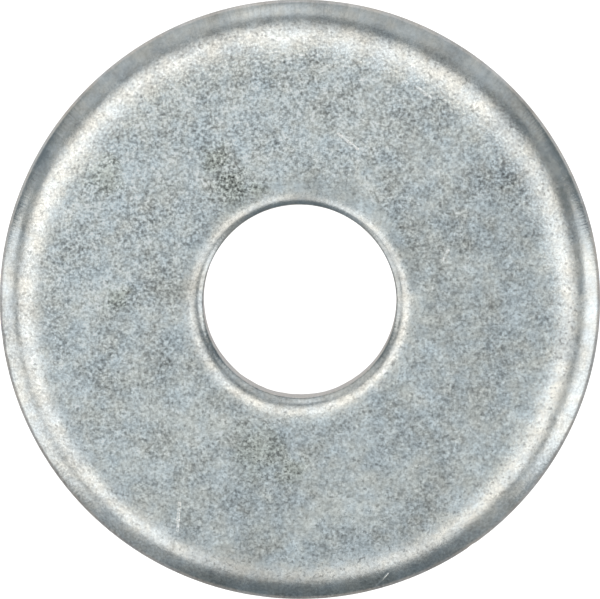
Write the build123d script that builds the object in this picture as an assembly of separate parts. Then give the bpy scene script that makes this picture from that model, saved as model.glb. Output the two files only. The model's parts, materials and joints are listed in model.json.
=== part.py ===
from build123d import *
import os

# Extra-large flat washer for an M8 bolt, ISO 7094 / DIN 440 form R, zinc-plated mild steel.
#
# A washer is one piece of metal: a disc blanked and pierced from 3 mm strip in one stroke of a
# compound die, barrel tumbled and then barrel plated. Nothing on it comes apart or moves, so the
# whole part is one outline turned round an axis. The die leaves the same four zones, from the top
# face down, on the rim and in the bolt hole:
#   roll      the face bends down into the cut and blends into the wall, and is wide on the rim
#   burnish   a straight, smooth band at the full size of the cutter
#   fracture  where the metal tore: a wall that draws away from the cutter at a small slope
#   break     the burr edge, rubbed round by tumbling
#
# Frame: millimetres, +Z up along the axis, origin on the axis in the plane of the bottom face.

# Sizes that the standard gives
OUTER_DIAMETER = 28.0
HOLE_DIAMETER = 9.0
THICKNESS = 3.0

# The zones of the rim's wall
RIM_ROLL_WIDTH = 0.96 * THICKNESS
RIM_ROLL_DEPTH = 0.29 * THICKNESS
RIM_BURNISH_HEIGHT = 0.36 * THICKNESS
RIM_FRACTURE_STEP = 0.045 * THICKNESS

# The zones of the bolt hole's wall
HOLE_ROLL_WIDTH = 0.50 * THICKNESS
HOLE_ROLL_DEPTH = 0.125 * THICKNESS
HOLE_BURNISH_HEIGHT = 0.60 * THICKNESS
HOLE_FRACTURE_STEP = 0.030 * THICKNESS

# Radius of the tumbled edge between a fracture wall and the bottom face
BREAK_RADIUS = 0.04 * THICKNESS

OUTER_RADIUS = OUTER_DIAMETER / 2
HOLE_RADIUS = HOLE_DIAMETER / 2


def cut_wall(cutter_radius, inward, roll_width, roll_depth, burnish_height, fracture_step):
    """One cut wall as four edges, drawn from the top face down to the bottom face.

    inward is the way into the metal: -1 on the rim, towards the axis, and +1 in the hole.
    """
    wall_angle = 0 if inward < 0 else 180
    quarter_turn = 90 * inward
    burnish_top = THICKNESS - roll_depth
    fracture_top = burnish_top - burnish_height
    fracture_radius = cutter_radius + inward * fracture_step
    roll_centre = (cutter_radius + inward * roll_width, burnish_top)
    break_centre = (fracture_radius + inward * BREAK_RADIUS, BREAK_RADIUS)

    roll = EllipticalCenterArc(roll_centre, roll_width, roll_depth, 90, arc_size=quarter_turn)
    burnish = Line((cutter_radius, burnish_top), (cutter_radius, fracture_top))
    fracture = Line((cutter_radius, fracture_top), (fracture_radius, BREAK_RADIUS))
    edge_break = CenterArc(break_centre, BREAK_RADIUS, wall_angle, quarter_turn)
    return [roll, burnish, fracture, edge_break]


def flat_washer():
    """The washer: its outline in the XZ plane, turned round the Z axis."""
    rim = cut_wall(
        OUTER_RADIUS, -1, RIM_ROLL_WIDTH, RIM_ROLL_DEPTH, RIM_BURNISH_HEIGHT, RIM_FRACTURE_STEP
    )
    hole = cut_wall(
        HOLE_RADIUS, +1, HOLE_ROLL_WIDTH, HOLE_ROLL_DEPTH, HOLE_BURNISH_HEIGHT, HOLE_FRACTURE_STEP
    )
    top_face = Line(hole[0] @ 0, rim[0] @ 0)
    bottom_face = Line(hole[-1] @ 1, rim[-1] @ 1)
    outline = Plane.XZ * make_face([top_face, *rim, bottom_face, *hole])
    return revolve(outline, Axis.Z)


os.makedirs("parts", exist_ok=True)
export_step(flat_washer(), "parts/flat_washer.step")
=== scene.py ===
"""Looks of the flat washer: a blanked steel disc, tumbled and zinc plated, on a pale studio floor."""

import json
import math
from collections import namedtuple

import bpy
import numpy as np
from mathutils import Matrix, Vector, noise

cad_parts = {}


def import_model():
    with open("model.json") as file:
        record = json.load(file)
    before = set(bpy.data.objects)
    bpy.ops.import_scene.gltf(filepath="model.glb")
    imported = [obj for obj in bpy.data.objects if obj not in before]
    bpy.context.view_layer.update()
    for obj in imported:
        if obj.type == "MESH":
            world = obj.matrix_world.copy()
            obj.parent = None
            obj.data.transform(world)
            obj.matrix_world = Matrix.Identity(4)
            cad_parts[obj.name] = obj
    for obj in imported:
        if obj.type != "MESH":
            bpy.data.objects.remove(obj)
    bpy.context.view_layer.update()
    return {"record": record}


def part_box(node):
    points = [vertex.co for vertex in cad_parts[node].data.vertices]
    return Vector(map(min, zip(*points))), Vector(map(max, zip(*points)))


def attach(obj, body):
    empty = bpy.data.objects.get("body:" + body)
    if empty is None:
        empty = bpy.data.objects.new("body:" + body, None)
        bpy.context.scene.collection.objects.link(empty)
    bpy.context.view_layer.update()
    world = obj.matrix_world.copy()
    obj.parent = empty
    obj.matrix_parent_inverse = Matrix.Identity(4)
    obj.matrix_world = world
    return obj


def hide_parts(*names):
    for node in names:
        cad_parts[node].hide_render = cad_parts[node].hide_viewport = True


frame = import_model()

# Sizes, in metres, from the frame
MM = 0.001
LOW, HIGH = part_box("flat_washer")
BORE = next(m for m in frame["record"]["mounts"] if m["name"] == "bolt_hole")
OUTER_RADIUS = (HIGH.x - LOW.x) / 2
HOLE_RADIUS = BORE["dims"]["r_mm"] * MM
MIDDLE_RADIUS = (HOLE_RADIUS + OUTER_RADIUS) / 2
BOTTOM = LOW.z
THICKNESS = HIGH.z - LOW.z
MIDDLE = (LOW + HIGH) / 2

# ---------------------------------------------------------------------------- shape

# The two cut walls, whose zones run from the top face down: roll, burnish, fracture and break.
# inward is the way into the metal, along a radius. The die's gap was not even all round, so
# towards wide_side degrees the roll is wider by the share lean and deeper by the share dip.
Wall = namedtuple(
    "Wall",
    "radius inward roll_width roll_depth burnish_height fracture_step lean dip wide_side seed",
)
RIM = Wall(
    radius=OUTER_RADIUS,
    inward=-1,
    roll_width=0.96 * THICKNESS,
    roll_depth=0.29 * THICKNESS,
    burnish_height=0.36 * THICKNESS,
    fracture_step=0.045 * THICKNESS,
    lean=0.10,
    dip=0,
    wide_side=103,
    seed=3.0,
)
HOLE = Wall(
    radius=HOLE_RADIUS,
    inward=1,
    roll_width=0.50 * THICKNESS,
    roll_depth=0.125 * THICKNESS,
    burnish_height=0.60 * THICKNESS,
    fracture_step=0.030 * THICKNESS,
    lean=0.03,
    dip=0.13,
    wide_side=258,
    seed=8.0,
)
BREAK_RADIUS = 0.04 * THICKNESS

# Small unevenness: a swing as a share of the size that it changes, and its lobes to a turn.
# NOISE_GAIN brings the noise to about -1 to 1.
NOISE_GAIN = 1.6
WIDTH_SWING = 0.03
DEPTH_SWING = 0.04
ROLL_LOBES = 9
# The ragged line between burnish and fracture: swings as shares of the thickness, and their lobes
RAGGED_SWINGS = (0.05, 0.03)
RAGGED_LOBES = (24, 90)

# The grain of the torn metal, how soon it starts down the fracture, and its share on the break
TORN_DEPTH = 0.018 * THICKNESS
TORN_GRAIN = 0.35 * MM
TORN_STRETCH = 0.6
TORN_DEEPEST = 1.5
TORN_ONSET = 0.15
TORN_ON_BREAK = 0.5

# How steeply cut, which is 0 on the face and 1 on the wall, rises across the roll
CUT_POWER = 4

# Nicks in the rim from the barrel: degrees round, height, width and depth
Nick = namedtuple("Nick", "azimuth height width depth")
NICKS = (
    Nick(-24, 2.60 * MM, 0.28 * MM, 0.05 * MM),
    Nick(50, 2.45 * MM, 0.22 * MM, 0.04 * MM),
    Nick(131, 2.50 * MM, 0.20 * MM, 0.03 * MM),
    Nick(184, 2.55 * MM, 0.20 * MM, 0.05 * MM),
    Nick(187, 2.35 * MM, 0.25 * MM, 0.04 * MM),
    Nick(262, 1.90 * MM, 0.30 * MM, 0.06 * MM),
    Nick(305, 2.20 * MM, 0.22 * MM, 0.04 * MM),
)

# The mesh: columns round the axis, and rows on each stretch of the outline
COLUMNS = 840
ROLL_ROWS = 22
BURNISH_ROWS = 9
FRACTURE_ROWS = 12
BREAK_ROWS = 3
TOP_ROWS = 12
BOTTOM_ROWS = 8
QUARTER = math.pi / 2


def between(start, end, share):
    return start + (end - start) * share


def wave(angle, lobes, seed):
    """Smooth noise round the washer, about -1 to 1, with so many lobes to a turn."""
    spread = lobes / math.tau
    spot = Vector((math.cos(angle) * spread, math.sin(angle) * spread, seed))
    return noise.noise(spot) * NOISE_GAIN


def roll_rows(wall, width, depth):
    """Rows down a roll, a quarter of an ellipse from the face to the wall."""
    rows = []
    for row in range(ROLL_ROWS):
        turn = row / ROLL_ROWS * QUARTER
        radius = wall.radius + wall.inward * width * (1 - math.sin(turn))
        height = THICKNESS - depth + depth * math.cos(turn)
        rows.append((radius, height, math.sin(turn) ** CUT_POWER, 0))
    return rows


def burnish_rows(wall, top, foot):
    """Rows down the straight burnish."""
    rows = []
    for row in range(BURNISH_ROWS):
        rows.append((wall.radius, between(top, foot, row / BURNISH_ROWS), 1, 0))
    return rows


def fracture_rows(wall, top):
    """Rows down the torn fracture, which draws away from the cutter."""
    rows = []
    for row in range(FRACTURE_ROWS):
        share = row / FRACTURE_ROWS
        radius = wall.radius + wall.inward * wall.fracture_step * share
        rows.append((radius, between(top, BREAK_RADIUS, share), 1, share ** TORN_ONSET))
    return rows


def break_rows(wall):
    """Rows round the tumbled edge, a quarter of a circle down to the bottom face."""
    start = wall.radius + wall.inward * wall.fracture_step
    rows = []
    for row in range(BREAK_ROWS + 1):
        turn = row / BREAK_ROWS * QUARTER
        radius = start + wall.inward * BREAK_RADIUS * (1 - math.cos(turn))
        height = BREAK_RADIUS * (1 - math.sin(turn))
        rows.append((radius, height, 1 - row / BREAK_ROWS, TORN_ON_BREAK))
    return rows


def cut_wall(wall, angle):
    """One wall in one direction, as rows of (radius, height, cut, torn), from the top face down.

    cut rises from 0 on the face to 1 on the wall, and torn is 1 where the metal broke.
    """
    uneven = math.cos(angle - math.radians(wall.wide_side))
    wider = wall.lean * uneven + WIDTH_SWING * wave(angle, ROLL_LOBES, wall.seed)
    deeper = wall.dip * uneven + DEPTH_SWING * wave(angle, ROLL_LOBES, wall.seed + 1)
    ragged = 0
    for step, (swing, lobes) in enumerate(zip(RAGGED_SWINGS, RAGGED_LOBES)):
        ragged += swing * THICKNESS * wave(angle, lobes, wall.seed + 2 + step)
    depth = wall.roll_depth * (1 + deeper)
    fracture_top = THICKNESS - wall.roll_depth - wall.burnish_height + ragged

    roll = roll_rows(wall, wall.roll_width * (1 + wider), depth)
    burnish = burnish_rows(wall, THICKNESS - depth, fracture_top)
    return roll + burnish + fracture_rows(wall, fracture_top) + break_rows(wall)


def face_rows(start, end, count):
    """Rows across a face, between the last row of one wall and the first row of the other."""
    rows = []
    for row in range(1, count):
        share = row / count
        rows.append((between(start[0], end[0], share), between(start[1], end[1], share), 0, 0))
    return rows


def outline(angle):
    """The whole section in one direction: down the rim, across the bottom, up the hole and back."""
    rim = cut_wall(RIM, angle)
    hole = cut_wall(HOLE, angle)[::-1]
    bottom = face_rows(rim[-1], hole[0], BOTTOM_ROWS)
    top = face_rows(hole[-1], rim[0], TOP_ROWS)
    return rim + bottom + hole + top


def torn_depth(angle, radius, height, torn):
    """How far the torn metal's grain goes in at each vertex."""
    depth = np.zeros(radius.shape)
    for column, row in zip(*np.nonzero(torn > 0)):
        turn = angle[column, 0]
        spot = Vector((math.cos(turn), math.sin(turn), 0)) * radius[column, row]
        spot.z = height[column, row] * TORN_STRETCH
        depth[column, row] = 0.5 + noise.fractal(spot / TORN_GRAIN, 0.6, 2.0, 4)
    return TORN_DEPTH * torn * np.clip(depth, 0, TORN_DEEPEST)


def nick_depth(angle, radius, height):
    """How far the nicks go in at each vertex."""
    depth = np.zeros(radius.shape)
    on_rim = radius > OUTER_RADIUS - RIM.roll_width
    for nick in NICKS:
        turn = (angle - math.radians(nick.azimuth) + math.pi) % math.tau - math.pi
        along = turn * OUTER_RADIUS / nick.width
        up = (height - nick.height) / nick.width
        depth += nick.depth * np.exp(-2 * (along ** 2 + up ** 2)) * on_rim
    return depth


def washer_mesh():
    """The outline in every direction, as a grid of quads closed both ways."""
    angles = [math.tau * column / COLUMNS for column in range(COLUMNS)]
    grid = np.array([outline(angle) for angle in angles])
    rows = grid.shape[1]
    turned = np.array(angles)[:, None]
    radius, height, cut, torn = np.moveaxis(grid, 2, 0)
    into_metal = np.where(radius < MIDDLE_RADIUS, 1, -1)
    marks = torn_depth(turned, radius, height, torn) + nick_depth(turned, radius, height)
    radius = radius + into_metal * marks
    places = np.stack([radius * np.cos(turned), radius * np.sin(turned), BOTTOM + height], axis=2)

    corners = np.arange(COLUMNS * rows).reshape(COLUMNS, rows)
    across = np.roll(corners, -1, axis=0)
    quads = np.stack([corners, np.roll(corners, -1, 1), np.roll(across, -1, 1), across], axis=2)
    mesh = bpy.data.meshes.new("washer")
    mesh.from_pydata(places.reshape(-1, 3).tolist(), [], quads.reshape(-1, 4).tolist())
    for name, values in (("cut", cut), ("torn", torn)):
        mesh.attributes.new(name, "FLOAT", "POINT").data.foreach_set("value", values.ravel())
    mesh.shade_smooth()
    return mesh


# ---------------------------------------------------------------------------- material


class Tree:
    """A node tree with short calls. An input is a number, a colour or another node's output."""

    def __init__(self, tree):
        self.tree = tree
        tree.nodes.clear()

    def connect(self, made, name, value):
        if isinstance(value, bpy.types.NodeSocket):
            self.tree.links.new(value, made.inputs[name])
        else:
            made.inputs[name].default_value = value

    def add(self, kind, inputs=None, **settings):
        made = self.tree.nodes.new(kind)
        for name, value in settings.items():
            setattr(made, name, value)
        for name, value in (inputs or {}).items():
            self.connect(made, name, value)
        return made

    def math(self, operation, *values):
        inputs = dict(enumerate(values))
        return self.add("ShaderNodeMath", inputs, operation=operation).outputs[0]

    def total(self, first, *rest):
        for value in rest:
            first = self.math("ADD", first, value)
        return first

    def product(self, first, *rest):
        for value in rest:
            first = self.math("MULTIPLY", first, value)
        return first

    def change(self, cover, share):
        """1 outside a cover, and 1 + share in its heart."""
        return self.math("MULTIPLY_ADD", cover, share, 1.0)

    def remap(self, value, low, high, to_low=0.0, to_high=1.0):
        """A smooth step from to_low, at low, to to_high, at high."""
        inputs = {"Value": value, "From Min": low, "From Max": high}
        inputs.update({"To Min": to_low, "To Max": to_high})
        return self.add("ShaderNodeMapRange", inputs, interpolation_type="SMOOTHSTEP").outputs[0]

    def noise(self, place, size, detail=2.0, roughness=0.5):
        inputs = {"Vector": place, "Scale": 1 / size, "Detail": detail, "Roughness": roughness}
        return self.add("ShaderNodeTexNoise", inputs).outputs["Fac"]

    def sway(self, value, weight):
        """A 0-to-1 value as a swing about 0, so large."""
        return self.math("MULTIPLY_ADD", value, weight, -weight / 2)

    def vector(self, operation, *values):
        inputs = dict(enumerate(values))
        return self.add("ShaderNodeVectorMath", inputs, operation=operation)

    def along(self, place, way):
        """How far a place is in a direction."""
        return self.vector("DOT_PRODUCT", place, way).outputs["Value"]

    def distance(self, first, second):
        return self.vector("DISTANCE", first, second).outputs["Value"]

    def scale(self, value, factor):
        inputs = {0: value, "Scale": factor}
        return self.add("ShaderNodeVectorMath", inputs, operation="SCALE").outputs[0]

    def shift(self, place, distance):
        """The same place in a far part of a noise, so that two noises don't repeat each other."""
        return self.vector("ADD", place, (distance, 0, 0)).outputs[0]

    def mix(self, share, first, second):
        made = self.add("ShaderNodeMix", data_type="RGBA")
        for index, value in ((0, share), (6, first), (7, second)):
            self.connect(made, index, value)
        return made.outputs[2]


# Spots on the top face, in millimetres from the axis: pitted smudges, patches that are only darker,
# and scratches
Mark = namedtuple("Mark", "x y radius")
SMUDGES = (
    Mark(-3.2, 5.3, 1.3),
    Mark(-2.0, 5.2, 0.8),
    Mark(-3.8, 6.6, 0.9),
    Mark(-1.9, -6.9, 1.7),
    Mark(-0.4, -7.9, 1.1),
    Mark(-8.6, 0.2, 0.9),
    Mark(-9.0, 5.9, 1.2),
)
# Patches where the face's colour is darker, with nothing else changed
SHADES = (
    Mark(0.4, 5.6, 1.5),
    Mark(2.3, 5.3, 1.3),
)
# Their broken edges: how far they stray, and the size of their teeth
MARK_RAGGED = 2.2 * MM
MARK_EDGE = 0.9 * MM
Scratch = namedtuple("Scratch", "x y to_x to_y")
SCRATCHES = (
    Scratch(1.8, 7.8, 2.7, 7.1),
    Scratch(5.4, 10.0, 6.1, 9.5),
    Scratch(6.7, 2.0, 6.9, 2.4),
    Scratch(3.6, -13.3, 4.1, -12.7),
    Scratch(-5.6, -9.4, -5.7, -10.7),
)
SCRATCH_CORE = 0.025 * MM
SCRATCH_EDGE = 0.075 * MM
# Heights count this little in a scratch's distance, so that it follows the roll down
SCRATCH_DROP = 0.08


def mark_cover(tree, place, marks):
    """1 in the heart of each mark, falling off to 0 with a broken edge."""
    ragged = tree.sway(tree.noise(place, MARK_EDGE, 4.0, 0.65), MARK_RAGGED)
    cover = 0.0
    for mark in marks:
        away = tree.distance(place, (mark.x * MM, mark.y * MM, HIGH.z))
        heart = tree.remap(tree.total(away, ragged), mark.radius * MM, 0.0)
        cover = tree.math("MAXIMUM", cover, heart)
    return cover


def scratch_cover(tree, place):
    """1 along the middle of each scratch, from the distance to its line."""
    cover = 0.0
    for scratch in SCRATCHES:
        start = Vector((scratch.x, scratch.y, 0)) * MM
        line = Vector((scratch.to_x, scratch.to_y, 0)) * MM - start
        start.z = HIGH.z
        way = line.normalized()
        offset = tree.vector("SUBTRACT", place, start).outputs[0]
        offset = tree.vector("MULTIPLY", offset, (1, 1, SCRATCH_DROP)).outputs[0]
        share = tree.math("MINIMUM", tree.math("MAXIMUM", tree.along(offset, way), 0.0), line.length)
        away = tree.distance(offset, tree.scale(way, share))
        cover = tree.math("MAXIMUM", cover, tree.remap(away, SCRATCH_EDGE, SCRATCH_CORE))
    return cover


# Sizes in the plating, from the zinc's crystals up to clouds across the face
PIT = 0.17 * MM
GRAIN = 0.128 * MM
CLUSTER = 0.42 * MM
PATCH = 1.7 * MM
CLOUD = 7 * MM
STRIAE = 0.11 * MM
STRIAE_DRIFT = 0.03
TINT_FINE = 0.8 * MM
TINT_BROAD = 2.5 * MM
PEBBLE = 0.15 * MM
GRIT = 0.2 * MM
RELIEF = 0.012 * MM

# How strongly each of them changes the shade
SHADE = 1.03
GRAIN_SWING = 2.3
CLUSTER_SWING = 0.9
PATCH_SWING = 0.8
CLOUD_SWING = 0.5
STRIAE_SWING = 0.32
WALL_SHADE = 0.88
# Painted light: the top face's colour is made lighter towards this way and darker on the far side, as
# the light falls across it
PAINTED_LIGHT_WAY = Vector((-0.95, 0.3, 0)) * 0.17 / OUTER_RADIUS

# The grain's strength: across the face towards MORE_GRAIN_WAY, over the patches, on the roll, round
# the walls towards ROUGHER_WALL_WAY, and how much more of it a smudge has
MORE_GRAIN_WAY = (-0.6, 0.8, 0)
ROUGHER_WALL_WAY = (-0.1, -1.0, 0)
FACE_GRAIN = (0.75, 1.2)
PATCH_GRAIN = (1.2, 0.8)
ROLL_GRAIN = 0.45
WALL_GRAIN = (0.35, 1.5)
SMUDGE_GRAIN = 0.6

# The pits: the noise's values from none to full, how they crowd, and their strength
PIT_LEVELS = (0.51, 0.32)
PIT_CROWDING = (0.2, 1.0)
PIT_STRENGTH = 0.9
PIT_IN_SMUDGE = 1.2

# Stretches over which a look changes, in bend, which runs from 0 on the face to 1 on the wall
GRAIN_FADES = (0.10, 0.45)
GRAIN_RETURNS = (0.55, 0.85)
LINES_SHOW = (0.55, 0.95)
LINES_DEEPEN = (0.7, 1.0)
PAINTED_LIGHT_FADES = (0.05, 0.35)
PEBBLE_FADES = (0.05, 0.45)
PITS_FADE = (0.5, 0.9)
WALL_DULLS = (0.9, 1.0)
# The middling values of a noise
MIDDLING = (0.35, 0.65)

# What each cover does to the shade
PATCH_DARKENING = -0.2
PITTED = -0.62
SMUDGED = -0.22
SCRATCHED = 0.45
TORN = -0.12

# Colours, and the swings of the tint between the first two
BLUISH = (0.635, 0.695, 0.725, 1)
YELLOWISH = (0.688, 0.698, 0.665, 1)
OLIVE = (0.665, 0.70, 0.655, 1)
TINT_FINE_SWING = 1.15
TINT_BROAD_SWING = 0.7
TINT_REACH = 0.3

# Roughness, and what torn metal and smudges add to it
SATIN = (0.19, 0.26)
SATIN_PATCH = 0.8 * MM
TORN_ROUGHER = 0.2
SMUDGE_ROUGHER = 0.05

# Heights in the relief, as shares of RELIEF
PEBBLE_HEIGHT = (0.85, 0.22)
STRIAE_HEIGHT = 0.6
GRIT_HEIGHT = 2.5
SCRATCH_HEIGHT = -1.0


def striae(tree, place):
    """Fine lines that the die drew down the cut walls, and over the roll towards the axis."""
    flat = tree.vector("MULTIPLY", place, (1, 1, 0)).outputs[0]
    away = tree.vector("LENGTH", flat).outputs["Value"]
    on_rim = tree.math("GREATER_THAN", away, MIDDLE_RADIUS)
    reach = tree.math("MULTIPLY_ADD", on_rim, OUTER_RADIUS - HOLE_RADIUS, HOLE_RADIUS)
    spoke = tree.scale(tree.vector("NORMALIZE", flat).outputs[0], reach)
    drift = tree.scale(place, STRIAE_DRIFT)
    return tree.noise(tree.vector("ADD", spoke, drift).outputs[0], STRIAE, 3.0, 0.6)


def speckle(tree, place, bend, smudge, patch, cluster):
    """The crystals' grain, uneven across the face, weaker on the roll and uneven round the walls."""
    grain = tree.noise(place, GRAIN, 2.0, 0.6)
    far = 0.8 * OUTER_RADIUS
    uneven = tree.remap(tree.along(place, MORE_GRAIN_WAY), -far, far, *FACE_GRAIN)
    patchy = tree.remap(patch, *MIDDLING, *PATCH_GRAIN)
    on_face = tree.remap(bend, *GRAIN_FADES, 1.0, ROLL_GRAIN)
    rougher = tree.remap(tree.along(place, ROUGHER_WALL_WAY), -0.75 * far, far, *WALL_GRAIN)
    on_wall = tree.remap(bend, *GRAIN_RETURNS, 1.0, rougher)
    peppered = tree.change(smudge, SMUDGE_GRAIN)
    fine = tree.sway(grain, GRAIN_SWING)
    fine = tree.product(fine, tree.product(uneven, patchy), on_face, on_wall, peppered)
    return tree.total(fine, tree.product(tree.sway(cluster, CLUSTER_SWING), on_face))


def pits(tree, place, bend, smudge, cluster):
    """1 in the small dark pits, which crowd in the smudges and stop at the walls."""
    cover = tree.remap(tree.noise(place, PIT, 3.0, 0.65), *PIT_LEVELS)
    crowded = tree.remap(cluster, *MIDDLING, *PIT_CROWDING)
    deeper = tree.math("MULTIPLY_ADD", smudge, PIT_IN_SMUDGE, PIT_STRENGTH)
    cover = tree.product(cover, crowded, deeper, tree.remap(bend, *PITS_FADE, 1.0, 0.0))
    return tree.math("MINIMUM", cover, 1.0)


def plating_shade(tree, place, bend, torn, smudge, scratch, lines):
    """How light the metal is: grain, patches and clouds on the face, painted light that makes one
    side of the face lighter and the other darker, marks, and duller cut walls.
    """
    cluster = tree.noise(tree.shift(place, 0.1), CLUSTER, 3.0, 0.6)
    patch = tree.noise(place, PATCH, 3.0, 0.6)
    cloud = tree.noise(place, CLOUD, 2.0, 0.5)
    lined = tree.product(tree.sway(lines, STRIAE_SWING), tree.remap(bend, *LINES_SHOW))
    # Painted light: one side of the top face lighter and the other darker, fading out down the roll
    paler = tree.product(tree.along(place, PAINTED_LIGHT_WAY), tree.remap(bend, *PAINTED_LIGHT_FADES, 1.0, 0.0))
    shade = tree.total(
        SHADE,
        speckle(tree, place, bend, smudge, patch, cluster),
        lined,
        tree.sway(patch, PATCH_SWING),
        tree.sway(cloud, CLOUD_SWING),
        paler,
    )
    covers = (
        (mark_cover(tree, place, SHADES), PATCH_DARKENING),
        (pits(tree, place, bend, smudge, cluster), PITTED),
        (smudge, SMUDGED),
        (scratch, SCRATCHED),
        (torn, TORN),
    )
    for cover, share in covers:
        shade = tree.product(shade, tree.change(cover, share))
    return tree.product(shade, tree.remap(bend, *WALL_DULLS, 1.0, WALL_SHADE))


def plating_colour(tree, place, shade, smudge):
    """The shade on metal that wanders between a bluish and a yellowish grey."""
    fine = tree.noise(tree.shift(place, 0.2), TINT_FINE, 4.0, 0.6)
    broad = tree.noise(tree.shift(place, 0.3), TINT_BROAD, 2.0, 0.5)
    tint = tree.total(tree.sway(fine, TINT_FINE_SWING), tree.sway(broad, TINT_BROAD_SWING))
    colour = tree.mix(tree.remap(tint, -TINT_REACH, TINT_REACH), BLUISH, YELLOWISH)
    colour = tree.mix(smudge, colour, OLIVE)
    return tree.scale(colour, shade)


def plating_relief(tree, place, bend, torn, scratch, lines):
    """Pebbled face, lines down the walls, rough torn metal and cut scratches."""
    pebble = tree.noise(place, PEBBLE, 2.0, 0.6)
    grit = tree.noise(place, GRIT, 4.0, 0.7)
    height = tree.total(
        tree.product(pebble, tree.remap(bend, *PEBBLE_FADES, *PEBBLE_HEIGHT)),
        tree.product(lines, tree.remap(bend, *LINES_DEEPEN), STRIAE_HEIGHT),
        tree.product(grit, torn, GRIT_HEIGHT),
        tree.product(scratch, SCRATCH_HEIGHT),
    )
    inputs = {"Height": height, "Strength": 1.0, "Distance": RELIEF}
    return tree.add("ShaderNodeBump", inputs).outputs[0]


def plating_roughness(tree, place, torn, smudge):
    """Satin all over, rougher where the metal tore and a little rougher in the smudges."""
    satin = tree.remap(tree.noise(place, SATIN_PATCH, 3.0), 0.3, 0.7, *SATIN)
    return tree.total(satin, tree.product(torn, TORN_ROUGHER), tree.product(smudge, SMUDGE_ROUGHER))


def zinc():
    """Zinc plating over tumbled steel: grainy on the faces, lined and duller on the cut walls."""
    material = bpy.data.materials.new("zinc_plate")
    material.use_nodes = True
    tree = Tree(material.node_tree)
    place = tree.add("ShaderNodeTexCoord").outputs["Object"]
    cut = tree.add("ShaderNodeAttribute", attribute_name="cut").outputs["Fac"]
    torn = tree.add("ShaderNodeAttribute", attribute_name="torn").outputs["Fac"]
    bend = tree.math("POWER", cut, 1 / CUT_POWER)
    smudge = mark_cover(tree, place, SMUDGES)
    scratch = scratch_cover(tree, place)
    lines = striae(tree, place)
    shade = plating_shade(tree, place, bend, torn, smudge, scratch, lines)
    look = {
        "Base Color": plating_colour(tree, place, shade, smudge),
        "Metallic": 1.0,
        "Roughness": plating_roughness(tree, place, torn, smudge),
        "Normal": plating_relief(tree, place, bend, torn, scratch, lines),
    }
    shader = tree.add("ShaderNodeBsdfPrincipled", look)
    tree.add("ShaderNodeOutputMaterial", {"Surface": shader.outputs[0]})
    return material


def washer():
    mesh = washer_mesh()
    piece = bpy.data.objects.new("plated_washer", mesh)
    bpy.context.scene.collection.objects.link(piece)
    mesh.materials.append(zinc())
    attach(piece, "root")
    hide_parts("flat_washer")


# ---------------------------------------------------------------------------- studio

# Directions are degrees of azimuth, from +X towards +Y, and degrees away from straight up
UP = Vector((0, 0, 1))

# The camera, whose view is a hair wider than the washer
CAMERA_DISTANCE = 0.3
CAMERA_LEAN = 4.2
CAMERA_AZIMUTH = 80
CAMERA_RANGE = (0.01, 10)
SENSOR = 36.0
VIEW_WIDTH = 2.002 * OUTER_RADIUS

# The floor, whose outer part rises to a low lip
FLOOR_RADIUS = 1.5
FLOOR_LIP = 0.05
FLOOR_FLAT = 0.6
FLOOR_GAP = 0.02 * MM
FLOOR_RINGS = 24
FLOOR_COLUMNS = 96
FLOOR_GREY = (0.8, 0.8, 0.8, 1)
FLOOR_GLOW = 0.9

# The world: the room's radiance above the horizon, and below it what the metal mirrors of the
# floor, which is brighter towards +Y by FLOOR_SLOPE
AMBIENT = 0.18
MIRRORED_FLOOR = 0.58
FLOOR_SLOPE = 0.22
HORIZON = 0.02
AIR = (0.87, 1.0, 1.07, 1)
PAPER = (1.0, 0.95, 0.925, 1)

# Panels of light: where they are, how many degrees they span, and their radiance
Panel = namedtuple("Panel", "name azimuth lean distance across tall radiance")
PANELS = (
    Panel("right", -14, 65.5, 0.7, 43, 49, 1.15),
    Panel("left", 196, 66.3, 0.7, 48, 47.5, 0.93),
    Panel("front_left", 233, 64.5, 0.7, 25, 51, 0.18),
    Panel("front_right", 314, 64.5, 0.7, 24, 51, 0.14),
    Panel("back_right", 66, 62, 0.7, 56, 56, 0.38),
    Panel("back_left", 118, 62, 0.7, 50, 56, 0.38),
)
WARM = (1.0, 0.96, 0.925)
COOL = (0.955, 1.0, 1.01)

# The ring light: panels side by side round an axis that leans, one of them dimmed and the rest
# swelling a little towards one side, and the paler diffuser inside it
RING_AXIS = (249, 8)
RING_PANELS = 12
RING_LEAN = 26
RING_TALL = 14
RING_DISTANCE = 0.6
RING_RADIANCE = 1.21
RING_TINT = (1.0, 0.935, 0.875)
RING_DIM_AZIMUTH = 270
RING_DIM = 0.4
RING_BRIGHT_AZIMUTH = 150
RING_SWING = 0.055
DIFFUSER_RADIANCE = 0.43


def direction(azimuth, lean):
    flat = math.sin(math.radians(lean))
    turn = math.radians(azimuth)
    return Vector((flat * math.cos(turn), flat * math.sin(turn), math.cos(math.radians(lean))))


def camera():
    data = bpy.data.cameras.new("camera")
    data.sensor_width = SENSOR
    data.lens = SENSOR * CAMERA_DISTANCE / VIEW_WIDTH
    data.clip_start, data.clip_end = CAMERA_RANGE
    made = bpy.data.objects.new("camera", data)
    bpy.context.scene.collection.objects.link(made)
    back = direction(CAMERA_AZIMUTH, CAMERA_LEAN)
    made.location = MIDDLE + back * CAMERA_DISTANCE
    made.rotation_mode = "QUATERNION"
    made.rotation_quaternion = UP.rotation_difference(back)
    bpy.context.scene.camera = made


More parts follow.
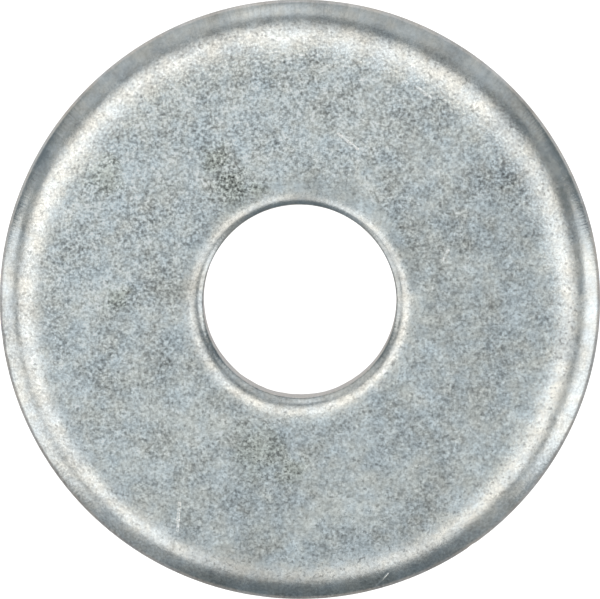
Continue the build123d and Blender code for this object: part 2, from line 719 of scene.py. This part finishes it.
def floor_mesh():
    """A disc in rings, whose far edge rises a little, so that it fills the lowest views."""
    places = [(0, 0, 0)]
    for ring in range(1, FLOOR_RINGS + 1):
        share = ring / FLOOR_RINGS
        radius = FLOOR_RADIUS * share
        lift = FLOOR_LIP * max(0.0, (share - FLOOR_FLAT) / (1 - FLOOR_FLAT)) ** 2
        for column in range(FLOOR_COLUMNS):
            angle = math.tau * column / FLOOR_COLUMNS
            places.append((radius * math.cos(angle), radius * math.sin(angle), lift))
    faces = []
    for column in range(FLOOR_COLUMNS):
        faces.append((0, 1 + column, 1 + (column + 1) % FLOOR_COLUMNS))
    for ring in range(FLOOR_RINGS - 1):
        inner = 1 + ring * FLOOR_COLUMNS
        outer = inner + FLOOR_COLUMNS
        for column in range(FLOOR_COLUMNS):
            after = (column + 1) % FLOOR_COLUMNS
            faces.append((inner + column, outer + column, outer + after, inner + after))
    mesh = bpy.data.meshes.new("floor")
    mesh.from_pydata(places, [], faces)
    mesh.shade_smooth()
    return mesh


def floor_paper():
    material = bpy.data.materials.new("floor_paper")
    material.use_nodes = True
    tree = Tree(material.node_tree)
    look = {
        "Base Color": FLOOR_GREY,
        "Roughness": 0.9,
        "Specular IOR Level": 0.1,
        "Emission Color": (1, 1, 1, 1),
        "Emission Strength": FLOOR_GLOW,
    }
    shader = tree.add("ShaderNodeBsdfPrincipled", look)
    tree.add("ShaderNodeOutputMaterial", {"Surface": shader.outputs[0]})
    return material


def floor():
    """A plain pale floor. The metal doesn't mirror it, but the world's lower half in its place."""
    mesh = floor_mesh()
    mesh.materials.append(floor_paper())
    made = bpy.data.objects.new("floor", mesh)
    made.location.z = BOTTOM - FLOOR_GAP
    bpy.context.scene.collection.objects.link(made)
    made.visible_glossy = False


def span(distance, degrees):
    """How wide a panel is that spans so many degrees from so far."""
    return 2 * distance * math.tan(math.radians(degrees) / 2)


def softbox(name, back, distance, across, tall, radiance, tint=WARM, shape="RECTANGLE"):
    """A panel of light that faces the washer from the direction back."""
    data = bpy.data.lights.new(name, "AREA")
    data.shape = shape
    data.size = span(distance, across)
    data.size_y = span(distance, tall)
    area = data.size * data.size_y * (math.pi / 4 if shape == "ELLIPSE" else 1)
    data.energy = radiance * math.pi * area
    data.color = tint
    made = bpy.data.objects.new(name, data)
    bpy.context.scene.collection.objects.link(made)
    made.location = MIDDLE + back * distance
    made.rotation_mode = "QUATERNION"
    made.rotation_quaternion = back.to_track_quat("Z", "Y")
    made.visible_camera = False


def ring_light():
    axis = direction(*RING_AXIS)
    turned = UP.rotation_difference(axis)
    across = 360 / RING_PANELS * math.sin(math.radians(RING_LEAN))
    for step in range(RING_PANELS):
        azimuth = step * 360 / RING_PANELS
        swell = 1 + RING_SWING * math.cos(math.radians(azimuth - RING_BRIGHT_AZIMUTH))
        radiance = RING_RADIANCE * (RING_DIM if azimuth == RING_DIM_AZIMUTH else swell)
        back = turned @ direction(azimuth, RING_LEAN)
        tall = RING_TALL * swell
        softbox(f"ring_{step}", back, RING_DISTANCE, across, tall, radiance, RING_TINT)
    inside = 2 * RING_LEAN - RING_TALL
    softbox("diffuser", axis, RING_DISTANCE, inside, inside, DIFFUSER_RADIANCE, COOL, "ELLIPSE")


def lights():
    for panel in PANELS:
        back = direction(panel.azimuth, panel.lean)
        softbox(panel.name, back, panel.distance, panel.across, panel.tall, panel.radiance)
    ring_light()


def world():
    """An even dim room above the floor, and below it the paler grey that the metal mirrors."""
    made = bpy.data.worlds.new("studio")
    bpy.context.scene.world = made
    made.use_nodes = True
    tree = Tree(made.node_tree)
    way = tree.add("ShaderNodeSeparateXYZ", {0: tree.add("ShaderNodeTexCoord").outputs["Generated"]})
    mirrored = tree.math("MULTIPLY_ADD", way.outputs["Y"], FLOOR_SLOPE, MIRRORED_FLOOR)
    below = tree.remap(way.outputs["Z"], HORIZON, -HORIZON)
    strength = tree.remap(below, 0.0, 1.0, AMBIENT, mirrored)
    colour = tree.mix(below, AIR, PAPER)
    shader = tree.add("ShaderNodeBackground", {"Color": colour, "Strength": strength})
    tree.add("ShaderNodeOutputWorld", {"Surface": shader.outputs[0]})


camera()
washer()
floor()
lights()
world()
bpy.context.scene.view_settings.view_transform = "Standard"
